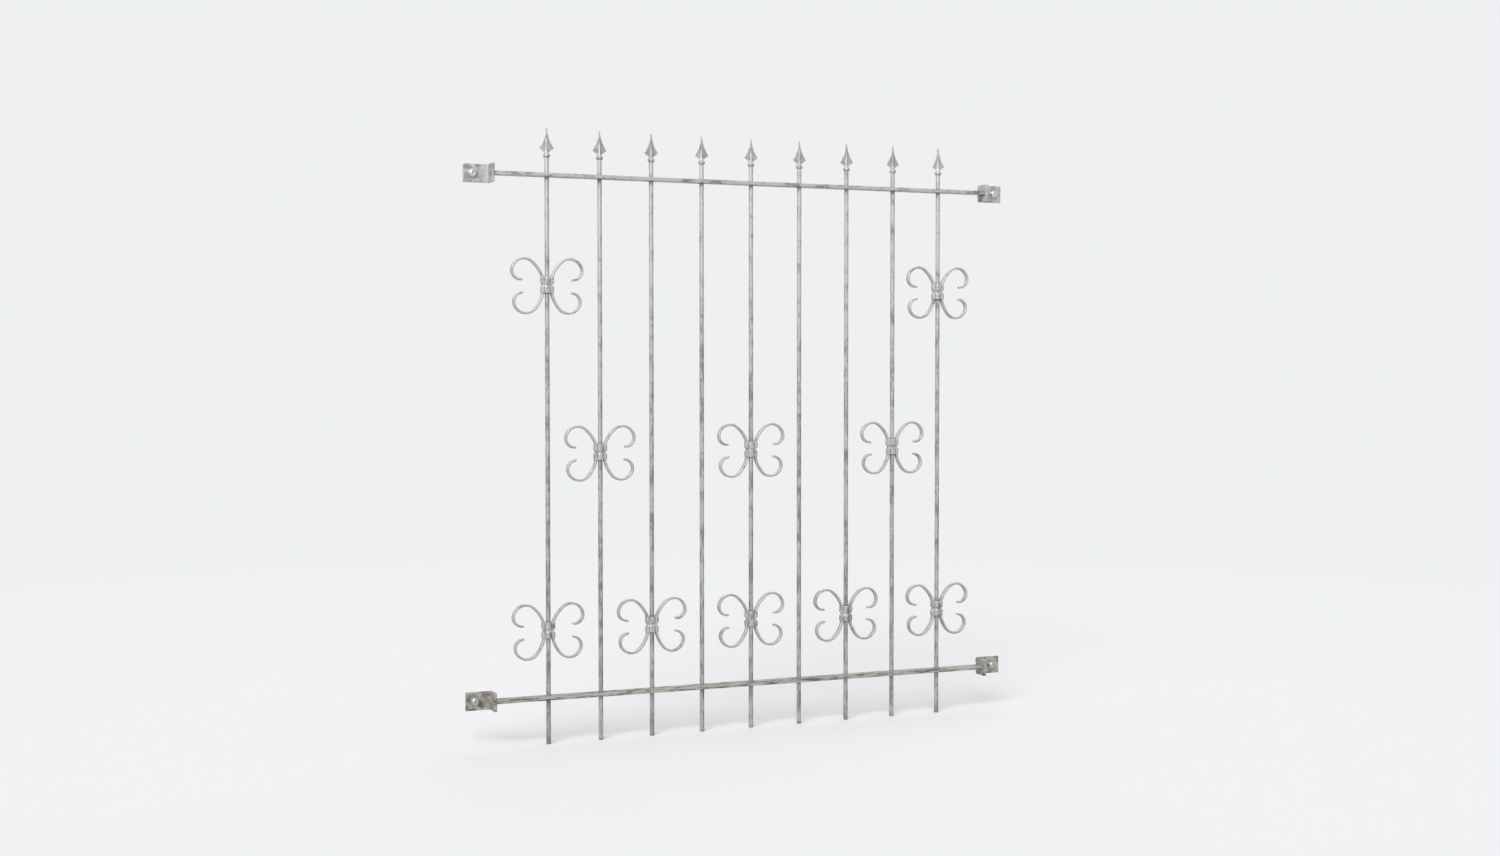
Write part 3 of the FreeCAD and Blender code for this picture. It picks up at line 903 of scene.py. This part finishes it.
def galvanised_rail(level):
    """Zinc on flat rail, streaked along its length; the lower rail is dusty and stained, with dirt and
    painted shade on its up-facing face.
    """
    if level == "upper":
        return weathered_zinc(
            "galvanised_upper_rail", streak=(45.0, 14.0, 9.0), dull=0.34, dust=0.2, grime=0.2)
    return weathered_zinc(
        "stained_lower_rail", streak=(38.0, 14.0, 6.0), dull=0.42, dust=0.65, grime=0.85, ledge=0.4)


def galvanised_scroll():
    """Zinc on bent strip, mostly even, with a warm film low down."""
    return weathered_zinc(
        "galvanised_scroll_strip", streak=(22.0, 12.0, 22.0), dull=0.2, dust=0.6, grime=0.2)


def galvanised_collar():
    """Zinc on ribbed collars, worn glossy, with dirt and painted shade in the grooves and painted highlights
    on the edges.
    """
    return weathered_zinc(
        "galvanised_collar", streak=(8.0, 8.0, 14.0), patch=14.0, soft=1.5, dull=0.26, dust=0.4, grime=0.55,
        hollows=0.95, ridges=0.8, polish=1.0)


def galvanised_finial():
    """Zinc on spearheads, softly clouded, with painted highlights on the ribs and rims, and dirt and painted
    shade in the hollows.
    """
    return weathered_zinc(
        "galvanised_finial", streak=(5.0, 7.0, 18.0), patch=16.0, soft=2.0, dull=0.42, dust=0.2, grime=0.2,
        hollows=0.7, ridges=0.9)


def galvanised_bracket(level):
    """Zinc on the wall brackets, in broad dull blotches, with painted highlights on the upper ones' edges;
    warmer and dirtier at the foot of the grille, with dirt and painted shade on up-facing faces.
    """
    if level == "upper":
        return weathered_zinc(
            "galvanised_upper_bracket", streak=(20.0, 20.0, 24.0), patch=24.0, dull=0.36, dust=0.2,
            ridges=0.5)
    return weathered_zinc(
        "stained_lower_bracket", streak=(20.0, 20.0, 18.0), patch=24.0, dull=0.54, dust=0.6, grime=0.8,
        ledge=0.3)


def brown_weld():
    """Weld bead under zinc, brownish where heat and rust show through."""
    return weathered_zinc(
        "galvanised_weld", streak=(5.0, 5.0, 6.0), patch=8.0, dull=0.5, dust=0.5, grime=0.7)


def plated_zinc():
    """Bright zinc plating on rolled screws and pressed washers: smooth, glossy and clouded.

    It is painted a darker grey at the foot of the grille as painted shade, and dirt and painted shade darken
    the sockets and under the heads.
    """
    colours = finish_colours()
    material, tree = new_material("plated_zinc")
    place = add_node(tree, "ShaderNodeTexCoord").outputs["Object"]
    cloud_size = 4.0 * MM
    clouds = add_node(tree, "ShaderNodeTexNoise", {"Vector": place, "Scale": 1 / cloud_size, "Detail": 3.0})
    tint = add_node(tree, "ShaderNodeMix", {
        SHARE: clouds.outputs["Fac"], COLOUR_A: colours.zinc_light, COLOUR_B: colours.bright_zinc_and_highlight},
        data_type="RGBA")
    # Painted shade: the plating is painted darker towards the foot of the grille.
    worn = height_share(tree, place, DARKER_DOWN, 0.42)
    low_shaded_tint = add_node(tree, "ShaderNodeMix", {
        SHARE: worn, COLOUR_A: tint.outputs[MIXED_COLOUR], COLOUR_B: colours.zinc_dark}, data_type="RGBA")
    # Dirt and painted shade in the sockets and under the heads, by occlusion.
    hollow_dirt_and_shade = shut_in_share(tree, 3.0 * MM, free=0.85, shut=0.4, most=0.9)
    coat = add_node(tree, "ShaderNodeMix", {
        SHARE: hollow_dirt_and_shade, COLOUR_A: low_shaded_tint.outputs[MIXED_COLOUR], COLOUR_B: colours.grime}, data_type="RGBA")
    sheen = add_node(tree, "ShaderNodeMapRange", {
        "Value": clouds.outputs["Fac"], "To Min": 0.38, "To Max": 0.2})
    roughness = add_node(tree, "ShaderNodeMix", {
        SHARE: hollow_dirt_and_shade, NUMBER_A: sheen.outputs["Result"], NUMBER_B: 0.7}, data_type="FLOAT")
    metal = add_node(tree, "ShaderNodeMapRange", {"Value": hollow_dirt_and_shade, "To Min": 0.85, "To Max": 0.1})
    shader = add_node(tree, "ShaderNodeBsdfPrincipled", {
        "Base Color": coat.outputs[MIXED_COLOUR],
        "Metallic": metal.outputs["Result"],
        "Roughness": roughness.outputs[MIXED_NUMBER]})
    add_node(tree, "ShaderNodeOutputMaterial", {"Surface": shader.outputs["BSDF"]})
    return material


# Stage

FLOOR_HALF = 30.0
FLOOR_FADE = (1.2, 5.0)  # distances between which the floor fades into the background
FLOOR_BOUNCE = 0.3  # share of light that the floor throws up
AMBIENT = 0.44  # strength of the light from all round

# Name, direction towards the light, spread in degrees and strength
LIGHTS = (
    ("key", (-0.52, -0.68, 0.52), 40.0, 2.8),
    ("fill", (0.55, 0.72, 0.42), 60.0, 0.95),
)
LIGHT_DISTANCE = 4.0


def looked_at(tree):
    """Number that is 1 for rays from the eye, a reflection or a see-through surface, and 0 for the rest."""
    rays = add_node(tree, "ShaderNodeLightPath")
    seen = add_node(tree, "ShaderNodeMath", {
        0: rays.outputs["Is Camera Ray"], 1: rays.outputs["Is Glossy Ray"]}, operation="MAXIMUM")
    seen = add_node(tree, "ShaderNodeMath", {
        0: seen.outputs[0], 1: rays.outputs["Is Transmission Ray"]}, operation="MAXIMUM")
    return seen.outputs[0]


def make_floor():
    """Floor under the uprights' feet, which fades into the background with distance from the grille.

    It looks pale, but throws only as much light up at the grille as a mid-grey floor does.
    """
    colours = finish_colours()
    below_feet = 0.5 * MM
    z = CAD_BOX[0][2] - below_feet
    corner_places = [(x * FLOOR_HALF, y * FLOOR_HALF, z) for x, y in ((-1, -1), (1, -1), (1, 1), (-1, 1))]
    mesh = bpy.data.meshes.new("floor")
    mesh.from_pydata(corner_places, [], [(0, 1, 2, 3)])
    material, tree = new_material("pale_floor")
    place = add_node(tree, "ShaderNodeTexCoord").outputs["Object"]
    distance = add_node(tree, "ShaderNodeVectorMath", {0: place}, operation="LENGTH")
    far = add_node(tree, "ShaderNodeMapRange", {
        "Value": distance.outputs["Value"], "From Min": FLOOR_FADE[0], "From Max": FLOOR_FADE[1]},
        interpolation_type="SMOOTHSTEP")
    seen = looked_at(tree)
    near_colour = add_node(tree, "ShaderNodeMix", {
        SHARE: seen, COLOUR_A: (FLOOR_BOUNCE, FLOOR_BOUNCE, FLOOR_BOUNCE, 1.0), COLOUR_B: colours.floor},
        data_type="RGBA")
    near_shader = add_node(tree, "ShaderNodeBsdfDiffuse", {"Color": near_colour.outputs[MIXED_COLOUR]})
    far_strength = add_node(tree, "ShaderNodeMapRange", {"Value": seen, "To Min": FLOOR_BOUNCE})
    far_shader = add_node(tree, "ShaderNodeEmission", {
        "Color": colours.background, "Strength": far_strength.outputs["Result"]})
    mixed = add_node(tree, "ShaderNodeMixShader", {
        0: far.outputs["Result"], 1: near_shader.outputs[0], 2: far_shader.outputs[0]})
    add_node(tree, "ShaderNodeOutputMaterial", {"Surface": mixed.outputs[0]})
    mesh.materials.append(material)
    floor = bpy.data.objects.new("floor", mesh)
    bpy.context.scene.collection.objects.link(floor)


def make_world():
    """Even background for what the eye and the metal see, and a softer light from all round for the rest."""
    world = bpy.data.worlds.new("studio")
    bpy.context.scene.world = world
    world.use_nodes = True
    tree = world.node_tree
    tree.nodes.clear()
    seen = looked_at(tree)
    shown = add_node(tree, "ShaderNodeBackground", {"Color": finish_colours().background, "Strength": 1.0})
    ambient = add_node(tree, "ShaderNodeBackground", {"Color": (1.0, 1.0, 1.0, 1.0), "Strength": AMBIENT})
    mixed = add_node(tree, "ShaderNodeMixShader", {0: seen, 1: ambient.outputs[0], 2: shown.outputs[0]})
    add_node(tree, "ShaderNodeOutputWorld", {"Surface": mixed.outputs[0]})


def make_lights():
    """Broad soft key from the upper left in front, and a weaker broad fill from the right and behind."""
    for name, way, spread, strength in LIGHTS:
        light = bpy.data.lights.new(name, "SUN")
        light.energy = strength
        light.angle = math.radians(spread)
        lamp = bpy.data.objects.new(name, light)
        bpy.context.scene.collection.objects.link(lamp)
        x, y, z = np.array(way) / np.linalg.norm(way)
        lamp.location = (LIGHT_DISTANCE * x, LIGHT_DISTANCE * y, LIGHT_DISTANCE * z)
        lamp.rotation_euler = (math.acos(z), 0.0, math.atan2(y, x) + math.pi / 2)


def make_camera():
    """Camera at the photograph's place: left of the middle, looking right and a little down."""
    lens = bpy.data.cameras.new("camera")
    lens.sensor_width = 36.0
    lens.lens = 44.485
    lens.clip_end = 200.0
    camera = bpy.data.objects.new("camera", lens)
    bpy.context.scene.collection.objects.link(camera)
    down, right = 1.885, 22.83
    camera.location = (-1637.65 * MM, -3906.7 * MM, 153.4 * MM)
    camera.rotation_euler = (math.radians(90.0 - down), 0.0, math.radians(-right))
    bpy.context.scene.camera = camera


# Operators

class PieceOperator:
    """What the operators that make pieces share."""

    bl_options = {"REGISTER", "UNDO"}


class GRILLE_OT_bars(PieceOperator, bpy.types.Operator):
    """Make the round uprights"""

    bl_idname = "grille.bars"
    bl_label = "Uprights"

    def execute(self, context):
        sizes = context.scene.grille_bars
        material = galvanised_bar()
        for node in BARS:
            make_piece(f"round_{node}", [bar_grid(node, sizes.foot_chamfer)], material, [node])
        return {"FINISHED"}


class GRILLE_OT_rails(PieceOperator, bpy.types.Operator):
    """Make the flat rails and the zinc fillets round the uprights"""

    bl_idname = "grille.rails"
    bl_label = "Rails"

    def execute(self, context):
        sizes = context.scene.grille_bars
        for level in LEVELS:
            material = galvanised_rail(level)
            rail = rail_grid(level, sizes.rail_edge)
            make_piece(f"{level}_flat_rail", [rail], material, [f"{level}_rail"])
            top = RAIL_Z[level] + RAIL_SIZE[2] / 2
            foot = RAIL_Z[level] - RAIL_SIZE[2] / 2
            rings = [
                fillet_grid(float(middle(node)[0]), z, up, sizes.fillet)
                for node in BARS for z, up in ((top, 1.0), (foot, -1.0))]
            make_piece(f"{level}_zinc_fillets", rings, material, loop_rows=True)
        return {"FINISHED"}


class GRILLE_OT_scrolls(PieceOperator, bpy.types.Operator):
    """Make the C-scrolls of each row"""

    bl_idname = "grille.scrolls"
    bl_label = "C-scrolls"

    def execute(self, context):
        sizes = context.scene.grille_scrolls
        material = galvanised_scroll()
        for row in ROWS:
            grids = [scroll_grid(node, side, sizes) for node in COLLARS[row] for side in SIDES.values()]
            make_piece(f"{row}_scroll_strips", grids, material, [f"{row}_scrolls"])
        return {"FINISHED"}


class GRILLE_OT_collars(PieceOperator, bpy.types.Operator):
    """Make the ribbed collars"""

    bl_idname = "grille.collars"
    bl_label = "Collars"

    def execute(self, context):
        sizes = context.scene.grille_collars
        material = galvanised_collar()
        for row in ROWS:
            for node in COLLARS[row]:
                make_piece(f"ribbed_{node}", [collar_grid(node, sizes)], material, [node])
        return {"FINISHED"}


class GRILLE_OT_finials(PieceOperator, bpy.types.Operator):
    """Make the spear finials and the welds under their beads"""

    bl_idname = "grille.finials"
    bl_label = "Spear finials"

    def execute(self, context):
        sizes = context.scene.grille_finials
        tops = [float(middle(node)[0]) for node in BARS]
        grids = [grid(x, sizes) for x in tops for grid in (bead_grid, blade_grid)]
        material = galvanised_finial()
        make_piece("spearheads", grids, material, ["spear_finials"])
        rings = [bead_weld_grid(x, sizes) for x in tops]
        make_piece("bead_welds", rings, material, loop_rows=True)
        return {"FINISHED"}


class GRILLE_OT_brackets(PieceOperator, bpy.types.Operator):
    """Make the wall brackets and the welds that hold the rails to them"""

    bl_idname = "grille.brackets"
    bl_label = "Wall brackets"

    def execute(self, context):
        sizes = context.scene.grille_fixings
        weld = brown_weld()
        for level in LEVELS:
            material = galvanised_bracket(level)
            for side in SIDES:
                node = f"{level}_{side}_bracket"
                grid, caps = bracket_grid(level, side, sizes)
                make_piece(f"angle_{node}", [grid], material, [node], cap_parts=caps)
                ring = weld_grid(level, side, sizes)
                make_piece(f"{level}_{side}_weld", [ring], weld, loop_rows=True)
        return {"FINISHED"}


class GRILLE_OT_screws(PieceOperator, bpy.types.Operator):
    """Make the wall screws and their washers"""

    bl_idname = "grille.screws"
    bl_label = "Screws and washers"

    def execute(self, context):
        sizes = context.scene.grille_fixings
        material = plated_zinc()
        places = screw_places(sizes)
        grids = [grid(place, sizes) for place in places for grid in (screw_head_grid, thread_grid)]
        make_piece("domed_screws", grids, material, ["wall_screws"])
        rings = [washer_grid(place, sizes) for place in places]
        make_piece("round_washers", rings, material, ["wall_washers"], loop_rows=True)
        return {"FINISHED"}


class GRILLE_OT_stage(bpy.types.Operator):
    """Make the floor, the lights, the background and the camera"""

    bl_idname = "grille.stage"
    bl_label = "Stage"

    def execute(self, context):
        make_floor()
        make_world()
        make_lights()
        make_camera()
        context.scene.view_settings.view_transform = "Standard"
        return {"FINISHED"}


# Panel and start

class GRILLE_PT_panel(bpy.types.Panel):
    """Sidebar panel that lists the grille's pieces and their sizes"""

    bl_idname = "GRILLE_PT_panel"
    bl_label = "Window grille"
    bl_space_type = "VIEW_3D"
    bl_region_type = "UI"
    bl_category = "Grille"

    def draw(self, context):
        for operator in OPERATORS:
            self.layout.operator(operator.bl_idname)
        for name, group in SETTINGS.items():
            box = self.layout.box()
            box.label(text=group.__doc__)
            for key in group.__annotations__:
                box.prop(getattr(context.scene, name), key)


OPERATORS = (
    GRILLE_OT_bars,
    GRILLE_OT_rails,
    GRILLE_OT_scrolls,
    GRILLE_OT_collars,
    GRILLE_OT_finials,
    GRILLE_OT_brackets,
    GRILLE_OT_screws,
    GRILLE_OT_stage,
)
CLASSES = (*SETTINGS.values(), *OPERATORS, GRILLE_PT_panel)


def register():
    for cls in CLASSES:
        bpy.utils.register_class(cls)
    for name, group in SETTINGS.items():
        setattr(bpy.types.Scene, name, PointerProperty(type=group))


def unregister():
    for name in SETTINGS:
        delattr(bpy.types.Scene, name)
    for cls in reversed(CLASSES):
        bpy.utils.unregister_class(cls)


def main():
    register()
    bpy.ops.grille.bars()
    bpy.ops.grille.rails()
    bpy.ops.grille.scrolls()
    bpy.ops.grille.collars()
    bpy.ops.grille.finials()
    bpy.ops.grille.brackets()
    bpy.ops.grille.screws()
    bpy.ops.grille.stage()


if __name__ == "__main__":
    main()
